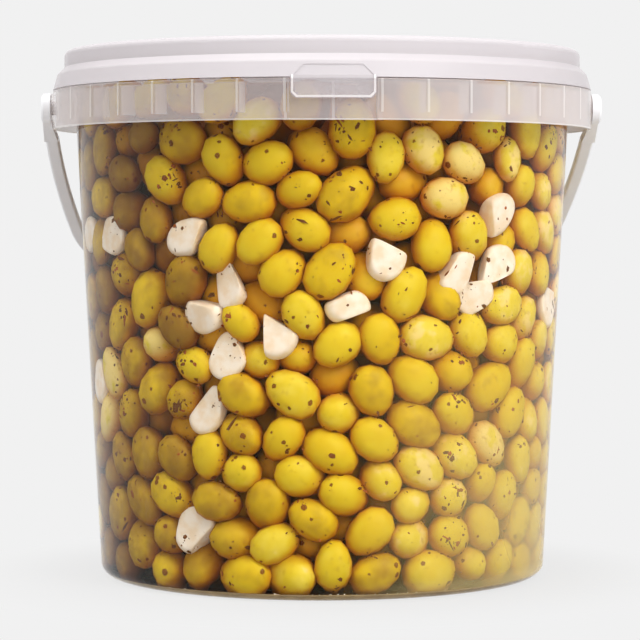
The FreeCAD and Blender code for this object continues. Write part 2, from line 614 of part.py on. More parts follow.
    body.Placement = FreeCAD.Placement(
        FreeCAD.Vector(0, 0, 0), FreeCAD.Rotation(FreeCAD.Vector(1, 0, 0), cell("rest_tilt") - 180))
    body.setExpression("Placement.Base.z", "Sizes.pivot_height")
    body.setExpression("Placement.Rotation.Angle", "Sizes.rest_tilt - 180deg")
    body.Label = "handle"
    return body


# ---------------------------------------------------------------- contents
def make_contents():
    """Olives in brine as one solid: it fills the pail to the brine's level, under domes of olives."""
    body = doc.addObject("PartDesign::Body", "Brine")
    inset = "Sizes.wall + Sizes.contents_gap"
    low = "Sizes.base_lift + Sizes.base_thickness + Sizes.contents_gap"
    brine = turned(body, "Revolution", "BrineShell", [
        ("0", low),
        (wall_at(low, inset), low),
        (wall_at("Sizes.brine_height", inset), "Sizes.brine_height"),
        ("0", "Sizes.brine_height"),
    ])
    rounded(body, "BrineCorner", brine, [(wall_at(low, inset), low)],
            "Sizes.corner_radius - Sizes.wall - Sizes.contents_gap / 2")

    # Domes of the topmost olives, in evenly spaced rings.
    domes = []
    rings = 3
    reach = number(wall_at("Sizes.brine_height", inset)) - cell("olive_width") / 2
    spacing = (reach - cell("dome_margin")) / rings
    for ring in range(1, rings + 1):
        radius = ring * spacing
        count = int(2 * math.pi * radius / spacing)
        for i in range(count):
            angle = 2 * math.pi * (i + 0.5 * (ring % 2)) / count
            dome = doc.addObject("Part::Sphere", f"Dome{ring}_{i}")
            dome.setExpression("Radius", "Sizes.olive_width / 2")
            dome.Placement.Base = FreeCAD.Vector(radius * math.cos(angle), radius * math.sin(angle), 0)
            dome.setExpression("Placement.Base.z",
                               "Sizes.brine_height + Sizes.olive_rise - Sizes.olive_width / 2")
            domes.append(dome)
    contents = doc.addObject("Part::MultiFuse", "Contents")
    contents.Shapes = [body] + domes
    contents.Label = "olives_in_brine"
    return contents


def check(objects):
    """Stop if a feature failed or a piece is empty or not a valid solid."""
    for item in doc.Objects:
        if "Invalid" in item.State or "Error" in item.State:
            raise RuntimeError(f"{item.Name}: {item.State}")
    for item in objects:
        if item.Shape.isNull() or not item.Shape.isValid():
            raise RuntimeError(f"{item.Label}: shape is not valid")


pieces = [make_pail(), make_lid(), make_handle(), make_contents()]
doc.recompute()
check(pieces)
for piece in pieces:
    piece.Shape.exportStep(f"parts/{piece.Label}.step")
    print(piece.Label, len(piece.Shape.Solids), round(piece.Shape.Volume), piece.Shape.BoundBox)
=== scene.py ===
import math

import bpy
import numpy as np
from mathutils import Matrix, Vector


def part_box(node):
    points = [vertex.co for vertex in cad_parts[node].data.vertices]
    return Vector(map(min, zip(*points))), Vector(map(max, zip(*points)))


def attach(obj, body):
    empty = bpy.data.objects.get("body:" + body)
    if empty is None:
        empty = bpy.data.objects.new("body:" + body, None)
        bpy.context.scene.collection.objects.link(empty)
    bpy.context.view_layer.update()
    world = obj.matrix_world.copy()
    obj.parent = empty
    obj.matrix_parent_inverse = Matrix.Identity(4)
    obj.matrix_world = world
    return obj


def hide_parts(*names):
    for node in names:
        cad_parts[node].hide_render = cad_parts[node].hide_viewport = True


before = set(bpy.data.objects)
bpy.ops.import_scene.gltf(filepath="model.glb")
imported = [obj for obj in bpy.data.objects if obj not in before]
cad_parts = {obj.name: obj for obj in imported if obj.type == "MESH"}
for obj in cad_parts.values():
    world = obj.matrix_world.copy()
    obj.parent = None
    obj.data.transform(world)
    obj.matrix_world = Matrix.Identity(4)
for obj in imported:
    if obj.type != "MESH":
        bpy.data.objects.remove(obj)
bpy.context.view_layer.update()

# Bucket of green olives.  Metres, in the frame's axes: +Z up, the lid's pull tab towards -Y.
MM = 0.001
rng = np.random.default_rng(20)

# ---------------------------------------------------------------- sizes read from the frame
FILL_LOW, FILL_HIGH = (np.array(corner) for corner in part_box("olives_in_brine"))

WALL_DRAFT = math.tan(math.radians(3.09))   # lean of the wall
WALL = 1.4 * MM                             # thickness of the wall
OLIVE_RISE = 3.8 * MM                       # how far the top olives stand out of the brine
BRINE_TOP = FILL_HIGH[2] - OLIVE_RISE
FLOOR = FILL_LOW[2] - 0.3 * MM              # inner face of the base
RADIUS_AT_TOP = FILL_HIGH[0] + 0.3 * MM     # inner radius of the wall at the brine's level
COLLAR_LOW = 198.0 * MM                     # lower edge of the collar
RIB_PITCHES = 38                            # spaces round the collar
SKIRT_LOW = 215.3 * MM                      # lower edge of the lid's skirt
SKIRT_RADIUS = 119.5 * MM                   # outer radius of the skirt and of the pull tab


def wall_inner(z):
    """Inner radius of the pail's wall at height z: a straight line that leans by the draft."""
    return RADIUS_AT_TOP + (z - BRINE_TOP) * WALL_DRAFT


# ---------------------------------------------------------------- mesh helpers
def new_object(name, points, faces, smooth=True):
    """An object at the origin from an array of points and an array or list of faces."""
    mesh = bpy.data.meshes.new(name)
    mesh.from_pydata(points, [], faces.tolist() if isinstance(faces, np.ndarray) else faces)
    mesh.update()
    mesh.polygons.foreach_set("use_smooth", np.full(len(mesh.polygons), smooth))
    piece = bpy.data.objects.new(name, mesh)
    bpy.context.scene.collection.objects.link(piece)
    return piece


def add_attribute(piece, name, values):
    """Store one number or one vector per vertex under a name."""
    kind = "FLOAT" if values.ndim == 1 else "FLOAT_VECTOR"
    attribute = piece.data.attributes.new(name, kind, "POINT")
    attribute.data.foreach_set("value" if values.ndim == 1 else "vector", values.ravel())


def quad_ball(steps):
    """Unit directions and quads of a ball made from a cube's six faces.

    Each face is a grid of tan-spaced points, so that its cells stay nearly equal, and every point
    is divided by its length.
    """
    side = np.tan(np.linspace(-1, 1, steps + 1) * math.pi / 4)
    u, v = np.meshgrid(side, side, indexing="ij")
    one = np.ones_like(u)
    sheets = [(one, u, v), (-one, v, u), (v, one, u), (u, -one, v), (u, v, one), (v, u, -one)]
    points = np.concatenate([np.stack(sheet, -1).reshape(-1, 3) for sheet in sheets])
    points /= np.linalg.norm(points, axis=1, keepdims=True)
    i, j = np.meshgrid(np.arange(steps), np.arange(steps), indexing="ij")
    corner = (i * (steps + 1) + j).ravel()
    quad = np.stack([corner, corner + steps + 1, corner + steps + 2, corner + 1], -1)
    quads = np.concatenate([quad + sheet * (steps + 1) ** 2 for sheet in range(6)])
    _, first, place = np.unique(points.round(6), axis=0, return_index=True, return_inverse=True)
    return points[first], place.ravel()[quads]


def turned_surface(profile, segments):
    """Points and quads of a surface of revolution: the profile carried round the Z axis.

    The profile is a list of (radius, height).
    """
    angle = np.linspace(0, 2 * math.pi, segments, endpoint=False)
    radius, height = np.array(profile).T
    points = np.stack([radius[:, None] * np.cos(angle), radius[:, None] * np.sin(angle),
                       height[:, None] + 0 * angle], -1).reshape(-1, 3)
    i, j = np.meshgrid(np.arange(len(profile) - 1), np.arange(segments), indexing="ij")
    j_next = (j + 1) % segments
    quads = np.stack([i * segments + j, i * segments + j_next,
                      (i + 1) * segments + j_next, (i + 1) * segments + j], -1).reshape(-1, 4)
    return points, quads


def turned_solid(name, profile, segments, smooth=True):
    """A closed solid of revolution from a profile that runs from the low axis to the high axis."""
    low, high = profile[0], profile[-1]
    points, quads = turned_surface(profile[1:-1], segments)
    last = len(points)
    points = np.concatenate([points, [[0, 0, low[1]], [0, 0, high[1]]]])
    ring = np.arange(segments)
    ring_next = (ring + 1) % segments
    top = (len(profile) - 3) * segments
    faces = quads.tolist()
    faces += np.stack([np.full(segments, last), ring_next, ring], -1).tolist()
    faces += np.stack([np.full(segments, last + 1), top + ring, top + ring_next], -1).tolist()
    return new_object(name, points, faces, smooth)


# ---------------------------------------------------------------- packing
def unit(vectors):
    """Each row divided by its length."""
    return vectors / np.linalg.norm(vectors, axis=-1, keepdims=True)


CORE_RADIUS = 58 * MM          # the dark middle of the heap, painted shade in place of deep olives, behind several layers of olives
CORE_LOW = 24 * MM
CORE_HIGH = 193 * MM
OLIVE_LENGTH = 23.4 * MM
OLIVE_WIDTH = 17.6 * MM
OLIVE_COUNT = 1000
SIZE_SPREAD = 0.07             # standard deviation of the width, as a share, and of length / width
LENGTH_OVER_WIDTH = (1.1, 1.42)
OLIVE_ROOM = 9 * MM            # an olive's centre starts at least this far from wall, floor and top
BY_WALL = 24 * MM              # olives this near the wall start lying down along it
LYING_DOWN = 0.75              # share of their axis' tilt towards the wall that is taken away

# Garlic in front, as (degrees to the right of the front, height in mm); more is scattered behind.
GARLIC_FRONT = [(-74, 152), (-60, 151), (-33, 151), (-22, 131), (15, 143), (-29, 119), (-23, 102),
                (-11, 111), (6, 122), (-29, 79), (-34, 28), (45, 160), (34, 136), (46, 138),
                (39, 127), (73, 121), (-72, 88)]
GARLIC_BEHIND = 24
GARLIC_HALF_WIDTH_MM = 7.0
GARLIC_RATIO = 1.25
GARLIC_DEPTH = 6.0 * MM        # from the wall to the middle of a piece
FRONT_TURN = -2.2              # degrees from the tab's side to the front, where the camera stands

SETTLE_STEPS = 260
START_SIZE = 0.72              # share of its full size that a piece starts with
GROWTH = 0.28                  # the rest of it
GROWING_SHARE = 0.55           # share of the steps in which the pieces grow
NEIGHBOUR_REACH = 31 * MM      # pieces further apart than this never touch
PAIRS_EVERY = 8                # steps between two searches for neighbours
DEEPEST_PUSH = 4 * MM          # an overlap counts up to this depth
WALL_SLACK = 0.35 * MM         # how far a ball may reach past the wall before it is pushed back
SINKING = 0.02 * MM            # per step, less and less
OUTWARD_DRIFT = 0.10 * MM      # per step, less and less
CONTACT_WEIGHT = 0.62          # a push is divided by the number of contacts times this
CENTRE_STRIDE = 1.5            # how many times its mean push a centre moves
TIP_FULLNESS = 1.04            # the end balls, over the radius of curvature of the tip
TINY = 1e-9


def garlic_places():
    """Angle round the Z axis in radians and height in metres of each piece of garlic.

    The pieces behind lie 95 to 265 degrees from the tab's side and 25 to 195 mm up.
    """
    behind = np.stack([rng.uniform(95, 265, GARLIC_BEHIND), rng.uniform(25, 195, GARLIC_BEHIND)], -1)
    places = np.concatenate([np.array(GARLIC_FRONT, float) + [FRONT_TURN, 0], behind])
    return np.radians(places[:, 0] - 90), places[:, 1] * MM


def start_heap():
    """Where the pieces start: centres, axes, half lengths, half widths and which are garlic.

    The olives start at random, evenly by volume, outside the core.  The garlic starts, and stays,
    at its own places by the wall.
    """
    garlic_angle, garlic_height = garlic_places()
    count = OLIVE_COUNT + len(garlic_angle)
    is_garlic = np.arange(count) >= OLIVE_COUNT

    olive_half = OLIVE_WIDTH / MM / 2 * rng.normal(1, SIZE_SPREAD, count)
    half_width = np.where(is_garlic, GARLIC_HALF_WIDTH_MM, olive_half) * MM
    ratio = np.where(is_garlic, GARLIC_RATIO, rng.normal(OLIVE_LENGTH / OLIVE_WIDTH, SIZE_SPREAD, count))
    half_length = half_width * np.clip(ratio, *LENGTH_OVER_WIDTH)

    angle = rng.uniform(0, 2 * math.pi, count)
    height = rng.uniform(FLOOR + OLIVE_ROOM, FILL_HIGH[2] - OLIVE_ROOM, count)
    beyond_core = (height < CORE_LOW) | (height > CORE_HIGH)
    nearest = np.where(beyond_core, 5 * MM, CORE_RADIUS)
    radius = np.sqrt(rng.uniform(nearest ** 2, (wall_inner(height) - OLIVE_ROOM) ** 2))
    centre = np.stack([radius * np.cos(angle), radius * np.sin(angle), height], -1)
    garlic_radius = wall_inner(garlic_height) - GARLIC_DEPTH
    centre[is_garlic] = np.stack([garlic_radius * np.cos(garlic_angle),
                                  garlic_radius * np.sin(garlic_angle), garlic_height], -1)

    axis = rng.normal(size=(count, 3))
    outward = unit(centre * [1, 1, 0])
    by_wall = radius > wall_inner(height) - BY_WALL
    lean = (axis * outward).sum(1, keepdims=True) * by_wall[:, None]
    axis = unit(axis - LYING_DOWN * lean * outward)
    return centre, axis, half_length, half_width, is_garlic


def push_between(balls, size, first, second):
    """Pushes that part the balls of touching pieces, and how many contacts each ball has.

    Two balls that overlap by d are each moved d / 2 along the line between their centres.
    """
    push = np.zeros_like(balls)
    hits = np.full(balls.shape[:2], TINY)
    apart = balls[first][:, :, None] - balls[second][:, None]
    distance = np.linalg.norm(apart, axis=-1) + TINY
    depth = size[first][:, :, None] + size[second][:, None] - distance
    depth = np.clip(depth, 0, DEEPEST_PUSH)
    move = apart / distance[..., None] * depth[..., None] / 2
    touching = depth > 0
    np.add.at(push, first, move.sum(2))
    np.add.at(push, second, -move.sum(1))
    np.add.at(hits, first, touching.sum(2))
    np.add.at(hits, second, touching.sum(1))
    return push, hits


def push_inside(balls, size, push, hits):
    """Add the pushes of the wall, the floor, the fill's top and the core."""
    flat = np.linalg.norm(balls[..., :2], axis=-1) + TINY
    over = np.clip(flat + size - wall_inner(balls[..., 2]) - WALL_SLACK, 0, None)
    push[..., :2] -= balls[..., :2] / flat[..., None] * over[..., None]
    under = np.clip(FLOOR - (balls[..., 2] - size), 0, None)
    above = np.clip(balls[..., 2] + size - FILL_HIGH[2], 0, None)
    push[..., 2] += under - above
    hits += (over > 0) * 0.5 + (under > 0) * 0.5 + (above > 0) * 0.5
    beyond_core = (balls[..., 2] < CORE_LOW) | (balls[..., 2] > CORE_HIGH)
    inside = np.clip(CORE_RADIUS - flat, 0, 2 * MM) * ~beyond_core
    push[..., :2] += balls[..., :2] / flat[..., None] * inside[..., None]


def pack_contents():
    """Settle olives and garlic in the pail: centres, axes, half sizes and which are garlic.

    Each piece is three balls on a line: a wide one in the middle, and one at each end with the
    radius of curvature of the piece's tip.  Balls that overlap, or reach past the wall, the floor
    or the fill, are pushed apart; the push on the end balls turns the piece.  All grow to full
    size as they settle.  The olives sink a little and drift outwards, against the wall.
    """
    centre, axis, half_length, half_width, is_garlic = start_heap()
    home = centre[is_garlic].copy()
    along = np.array([-1.0, 0.0, 1.0])
    for step in range(SETTLE_STEPS):
        grown = START_SIZE + GROWTH * min(1.0, step / (SETTLE_STEPS * GROWING_SHARE))
        fading = 1 - step / SETTLE_STEPS
        width = half_width * grown
        length = half_length * grown
        tip = width ** 2 / length * TIP_FULLNESS
        reach = length - tip
        balls = centre[:, None] + axis[:, None] * (along[:, None] * reach[:, None, None])
        size = np.stack([tip, width, tip], -1)
        if step % PAIRS_EVERY == 0:
            gap = np.linalg.norm(centre[:, None] - centre[None], axis=-1)
            first, second = np.nonzero(np.triu(gap < NEIGHBOUR_REACH, 1))
        push, hits = push_between(balls, size, first, second)
        push_inside(balls, size, push, hits)

        push /= np.maximum(hits, 1.0)[..., None] * CONTACT_WEIGHT
        centre += push.mean(1) * CENTRE_STRIDE
        centre[:, 2] -= SINKING * fading
        axis = unit(axis * (2 * reach[:, None] + 4 * MM) + (push[:, 2] - push[:, 0]))
        flat = np.linalg.norm(centre[:, :2], axis=1)[:, None] + TINY
        centre[:, :2] += centre[:, :2] / flat * (OUTWARD_DRIFT * fading)
        centre[is_garlic] = home
    return centre, axis, half_length, half_width, is_garlic


def turned_frames(axis, spin):
    """Right-handed frames whose first direction is each axis, turned about it by spin."""
    helper = np.where(np.abs(axis[:, 2:3]) < 0.8, [[0.0, 0.0, 1.0]], [[1.0, 0.0, 0.0]])
    side = unit(np.cross(helper, axis))
    other = np.cross(axis, side)
    c, s = np.cos(spin)[:, None], np.sin(spin)[:, None]
    return np.stack([axis, side * c + other * s, other * c - side * s], 1)


def keep_inside(points, margin):
    """Points moved in to the wall, the floor and the fill's top, less a margin."""
    flat = np.linalg.norm(points[..., :2], axis=-1, keepdims=True)
    limit = wall_inner(points[..., 2:3]) - margin
    points[..., :2] *= np.minimum(1, limit / np.maximum(flat, TINY))
    points[..., 2] = np.clip(points[..., 2], FLOOR + margin, FILL_HIGH[2])
    return points


def join_shapes(points, faces):
    """Point and face arrays of many copies of one mesh, from points of shape (copies, n, 3)."""
    copies, n, _ = points.shape
    offsets = (np.arange(copies) * n)[:, None, None]
    return points.reshape(-1, 3), (faces[None] + offsets).reshape(-1, faces.shape[1])


OLIVE_STEPS = 3                # cells along each side of the ball's six faces: 54 quads an olive
OUTSET = 1.015                 # the corners stand out, so that the flat cells average to the surface
EGG = 0.09                     # how much wider an olive is towards its tip
TIP = 0.05                     # how far the tip stands out, over the half length
TIP_FADES = 0.035              # and the share of it over which that fades
DIMPLE = 0.03                  # the same two for the dimple at the stem's end
DIMPLE_FADES = 0.03
UNEVEN = 0.014                 # height of each wave, as a share of the olive
WAVINESS = 1.6                 # typical radians of a wave over the half length
MARGIN = 0.25 * MM             # between the pieces and the wall


def pattern_place(local):
    """Pattern coordinates of many copies, in centimetres: each copy's own shape, shifted at random."""
    shift = rng.uniform(-40, 40, (len(local), 1, 3))
    return (local / MM / 10 + shift).reshape(-1, 3)


def olive_mesh(name, centre, axis, length, width, tint):
    """Olives as one mesh: an egg-shaped ellipsoid with a low tip at one end.

    Along the axis x runs from -1 to 1; the half width is w * (1 + EGG x), a small tip stands at
    x = 1 and a dimple for the stem at x = -1, and three slow waves make each one uneven.
    """
    count = len(centre)
    direction, quads = quad_ball(OLIVE_STEPS)
    x = direction[:, 0]
    frames = turned_frames(axis, rng.uniform(0, 2 * math.pi, count))
    swell = 1 + EGG * x
    tip = 1 + TIP * np.exp(-((1 - x) / TIP_FADES)) - DIMPLE * np.exp(-((1 + x) / DIMPLE_FADES))
    waves = rng.normal(size=(count, 3, 3)) * WAVINESS
    phase = rng.uniform(0, 2 * math.pi, (count, 3, 1))
    uneven = 1 + UNEVEN * np.sin(waves @ direction.T + phase).sum(1)
    local = np.stack([np.outer(length, x * tip), np.outer(width, direction[:, 1] * swell),
                      np.outer(width, direction[:, 2] * swell)], -1) * uneven[..., None] * OUTSET
    points = centre[:, None] + np.einsum("nvi,nij->nvj", local, frames)
    flat_points, faces = join_shapes(keep_inside(points, MARGIN), quads)
    piece = new_object(name, flat_points, faces)
    add_attribute(piece, "place", pattern_place(local))
    # the tint is ripeness with painted shade towards -X and painted light towards +X
    add_attribute(piece, "tint", np.repeat(tint, len(direction)))
    add_attribute(piece, "along", np.tile(x, count))
    return piece


GARLIC_HALF_SIZES_MM = np.array([7.4, 10.6, 8.6])
CUT_DEPTHS_MM = (5.2, 9.0, 9.0)  # from a piece's middle; the first cut faces the wall
CUT_SOFTNESS = 0.5 * MM        # how far a cut's edge is rounded
CUT_TURN = 2.4                 # radians between two side cuts
CUT_SHARE = 0.97               # how much of the way back to a plane a point is moved


def garlic_mesh(name, centre):
    """Cut garlic: an uneven ellipsoid whose points are moved back to three cutting planes.

    One cut faces the wall, the others are turned round it, as a clove sliced across comes apart.
    A point that is a ahead of a plane moves back by CUT_SHARE * s * ln(1 + exp(a / s)), which
    rounds the edge over the softness s.
    """
    count = len(centre)
    direction, quads = quad_ball(8)
    outward = unit(centre * [1, 1, 0])
    frames = turned_frames(outward, rng.uniform(0, 2 * math.pi, count))
    size = rng.uniform(0.9, 1.12, (count, 1, 1)) * GARLIC_HALF_SIZES_MM * MM
    size = size * rng.uniform(0.88, 1.1, (count, 1, 3))
    local = direction[None] * size
    for index, cut_depth in enumerate(CUT_DEPTHS_MM):
        turn = rng.uniform(-0.5, 0.5, count) + index * CUT_TURN
        lean = rng.uniform(-0.25, 0.3, count)
        normal = np.stack([np.sin(lean), np.cos(lean) * np.cos(turn), np.cos(lean) * np.sin(turn)], -1)
        if index == 0:
            tilt = rng.normal(0, 0.15, count), rng.normal(0, 0.15, count)
            normal = unit(np.stack([np.ones(count), *tilt], -1))
        depth = rng.uniform(0.45, 0.95, count) * cut_depth * MM
        ahead = np.einsum("nvi,ni->nv", local, normal) - depth[:, None]
        excess = CUT_SOFTNESS * np.logaddexp(0, ahead / CUT_SOFTNESS)
        local = local - excess[..., None] * normal[:, None] * CUT_SHARE
    points = centre[:, None] + np.einsum("nvi,nij->nvj", local, frames)
    flat_points, faces = join_shapes(keep_inside(points, MARGIN), quads)
    piece = new_object(name, flat_points, faces)
    add_attribute(piece, "place", pattern_place(local))
    return piece


OUTER_LAYER = 15 * MM
GATHER = 2 * math.pi / (np.array([23, 29, 19]) * MM)
GATHERING = 1.4


def scatter_on(piece, count):
    """Random points on the quads of a mesh that face away from the Z axis, and their normals.

    Only quads within 15 mm of the wall count, and a slow three-way wave over the heap gathers the
    points in some places and thins them in others.
    """
    mesh = piece.data
    points = np.empty(len(mesh.vertices) * 3)
    mesh.vertices.foreach_get("co", points)
    corners = np.empty(len(mesh.loops), dtype=int)
    mesh.loops.foreach_get("vertex_index", corners)
    quads = points.reshape(-1, 3)[corners.reshape(-1, 4)]
    normal = np.cross(quads[:, 2] - quads[:, 0], quads[:, 3] - quads[:, 1])
    area = np.linalg.norm(normal, axis=1)
    normal = normal / area[:, None]
    middle = quads.mean(1)
    outward = unit(middle * [1, 1, 0])
    chance = area * np.clip((normal * outward).sum(1) + 0.15, 0, 1)
    chance *= wall_inner(middle[:, 2]) - np.hypot(middle[:, 0], middle[:, 1]) < OUTER_LAYER
    chance *= np.exp(GATHERING * np.sin(middle * GATHER).sum(1))
    chosen = rng.choice(len(quads), count, p=chance / chance.sum())
    u, v = rng.uniform(0.05, 0.95, (2, count, 1))
    low = quads[chosen, 0] * (1 - u) + quads[chosen, 1] * u
    high = quads[chosen, 3] * (1 - u) + quads[chosen, 2] * u
    return low * (1 - v) + high * v, normal[chosen]


FLECK_DOME = 0.3               # height of a fleck's middle over its rim, over its half width
FLECK_MARGIN = 0.1 * MM        # between the flecks and the wall


def fleck_mesh(name, place, normal, size, stretch):
    """Flecks: flat five-cornered flakes, domed a little on both sides, lying on a surface.

    The rim's corners are at even angles with uneven radii; size is the half width, and stretch
    lengthens a flake into a bit of stalk.
    """
    count = len(place)
    corners = 5
    turn = np.linspace(0, 2 * math.pi, corners, endpoint=False) + rng.uniform(0, 1, (count, 1))
    radius = size[:, None] * rng.uniform(0.65, 1.25, (count, corners))
    x = radius * np.cos(turn) * stretch[:, None]
    y = radius * np.sin(turn) / np.sqrt(stretch)[:, None]
    rim = np.stack([rng.uniform(-0.1, 0.1, (count, corners)) * size[:, None], x, y], -1)
    top = np.stack([size * FLECK_DOME, 0 * size, 0 * size], -1)[:, None]
    local = np.concatenate([rim, top, -top], 1)
    frames = turned_frames(normal, rng.uniform(0, 2 * math.pi, count))
    points = place[:, None] + np.einsum("nvi,nij->nvj", local, frames)
    points = keep_inside(points, FLECK_MARGIN)
    ring = np.arange(corners)
    ring_next = (ring + 1) % corners
    faces = np.concatenate([np.stack([ring, ring_next, np.full(corners, corners)], -1),
                            np.stack([ring_next, ring, np.full(corners, corners + 1)], -1)])
    flat_points, all_faces = join_shapes(points, faces)
    piece = new_object(name, flat_points, all_faces, smooth=False)
    add_attribute(piece, "tint", np.repeat(rng.uniform(0, 1, count), corners + 2))
    add_attribute(piece, "place", points.reshape(-1, 3) / MM / 10)
    return piece


# ---------------------------------------------------------------- materials
class Nodes:
    """A short way to write a material's nodes: each call adds one and returns its output."""

    def __init__(self, name):
        self.material = bpy.data.materials.new(name)
        self.material.use_nodes = True
        self.tree = self.material.node_tree
        self.tree.nodes.clear()

    def set(self, socket, value):
        """Link an output to a socket, or set the socket's own value."""
        if isinstance(value, bpy.types.NodeSocket):
            self.tree.links.new(value, socket)
        elif value is not None:
            socket.default_value = value

    def add(self, kind, output=0, inputs=(), **settings):
        """Add a node, set its properties and inputs, and return one output."""
        node = self.tree.nodes.new(kind)
        for key, value in settings.items():
            setattr(node, key, value)
        for key, value in dict(inputs).items():
            self.set(node.inputs[key], value)
        return node.outputs[output]

    def math(self, operation, a, b=None, c=None, clamp=False):
        """A Math node."""
        node = self.tree.nodes.new("ShaderNodeMath")
        node.operation = operation
        node.use_clamp = clamp
        for socket, value in zip(node.inputs, (a, b, c)):
            self.set(socket, value)
        return node.outputs[0]

    def ramp(self, value, low, high, to_low=0.0, to_high=1.0):
        """A smooth change from one number to another as value goes from low to high."""
        node = self.tree.nodes.new("ShaderNodeMapRange")
        node.interpolation_type = "SMOOTHSTEP"
        for key, item in (("Value", value), ("From Min", low), ("From Max", high),
                          ("To Min", to_low), ("To Max", to_high)):
            self.set(node.inputs[key], item)
        return node.outputs["Result"]

    def mix(self, factor, a, b, blend="MIX"):
        """A colour mix."""
        node = self.tree.nodes.new("ShaderNodeMix")
        node.data_type = "RGBA"
        node.blend_type = blend
        self.set(node.inputs["Factor"], factor)
        self.set(node.inputs[6], a)
        self.set(node.inputs[7], b)
        return node.outputs[2]

    def noise(self, vector, scale, detail=2.0, roughness=0.5):
        """Noise from 0 to 1."""
        return self.add("ShaderNodeTexNoise", 0, {"Vector": vector, "Scale": scale,
                                                  "Detail": detail, "Roughness": roughness})

    def attribute(self, name, output="Vector"):
        """A mesh attribute."""
        node = self.tree.nodes.new("ShaderNodeAttribute")
        node.attribute_name = name
        return node.outputs[output]

    def radius_and_height(self):
        """Distance from the Z axis and height, both from Object coordinates, in metres."""
        place = self.add("ShaderNodeTexCoord", "Object")
        split = self.tree.nodes.new("ShaderNodeSeparateXYZ")
        self.set(split.inputs[0], place)
        x, y, z = split.outputs
        squares = self.math("MULTIPLY_ADD", x, x, self.math("MULTIPLY", y, y))
        return self.math("SQRT", squares), z, place

    def wall_gap(self):
        """How far a point is inside the wall's inner face, in metres."""
        radius, height, _ = self.radius_and_height()
        inner = self.math("MULTIPLY_ADD", height, WALL_DRAFT, RADIUS_AT_TOP - BRINE_TOP * WALL_DRAFT)
        return self.math("SUBTRACT", inner, radius)

    def facing(self, blend):
        """0 where the surface is seen straight on, 1 where it is seen edge on."""
        node = self.tree.nodes.new("ShaderNodeLayerWeight")
        node.inputs["Blend"].default_value = blend
        return node.outputs["Facing"]

    def colour_ramp(self, value, stops):
        """A colour that runs through stops of (position, colour) as value goes from 0 to 1."""
        node = self.tree.nodes.new("ShaderNodeValToRGB")
        self.set(node.inputs[0], value)
        ends = node.color_ramp.elements
        ends[0].position, ends[0].color = stops[0]
        ends[1].position, ends[1].color = stops[-1]
        for position, colour in stops[1:-1]:
            ends.new(position).color = colour
        return node.outputs[0]

    def tinted(self, factor, colour, tint):
        """A colour multiplied by a tint, by a factor."""
        return self.mix(factor, colour, self.mix(1.0, colour, tint, "MULTIPLY"))

    def principled(self, colour, roughness, specular, **more):
        """A Principled shader; more names its other sockets, with _ for a space."""
        inputs = {"Base Color": colour, "Roughness": roughness, "Specular IOR Level": specular}
        inputs.update({key.replace("_", " "): value for key, value in more.items()})
        return self.add("ShaderNodeBsdfPrincipled", 0, inputs)

    def bump(self, height, strength, distance=0.4 * MM):
        """A bump from a height pattern."""
        return self.add("ShaderNodeBump", 0, {"Strength": strength, "Distance": distance,
                                              "Height": height})

    def outward_tilt(self, up):
        """Cosine of the angle between the surface and the way out of the heap, tilted up a little."""
        coordinates = self.tree.nodes.new("ShaderNodeTexCoord")
        place = self.add("ShaderNodeVectorMath", 0, {0: coordinates.outputs["Object"], 1: (1, 1, 0)},
                         operation="MULTIPLY")
        flat = self.add("ShaderNodeVectorMath", 0, {0: place}, operation="NORMALIZE")
        tilted = self.add("ShaderNodeVectorMath", 0, {0: flat, 1: (0, 0, up)}, operation="ADD")
        way = self.add("ShaderNodeVectorMath", 0, {0: tilted}, operation="NORMALIZE")
        return self.add("ShaderNodeVectorMath", "Value", {0: coordinates.outputs["Normal"], 1: way},
                        operation="DOT_PRODUCT")

    def finish(self, shader):
        """Connect the material's output."""
        output = self.tree.nodes.new("ShaderNodeOutputMaterial")
        self.tree.links.new(shader, output.inputs["Surface"])
        return self.material


def rgb(red, green, blue):
    """A colour written in screen values 0 to 255, as the linear colour that a socket takes."""
    screen = np.array([red, green, blue]) / 255
    linear = np.where(screen <= 0.04045, screen / 12.92, ((screen + 0.055) / 1.055) ** 2.4)
    return (*linear.tolist(), 1.0)


RIPENESS = [(0.0, rgb(146, 106, 28)), (0.25, rgb(186, 148, 26)), (0.5, rgb(226, 193, 22)),
            (0.75, rgb(230, 204, 38)), (0.92, rgb(236, 214, 72)), (1.0, rgb(244, 220, 136))]
BRUISE = rgb(178, 122, 28)
SCAR = rgb(122, 58, 16)
PORE = rgb(120, 76, 20)
STEM_END = rgb(140, 86, 28)
PAINTED_RIM_SHADE = rgb(226, 172, 84)         # painted shade where the skin turns away from the wall and downwards
SHALLOW_TINT = rgb(238, 192, 124)    # 1 to 10 mm of brine in front
DEEP_TINT = rgb(186, 146, 110)       # 9 to 30 mm of brine in front


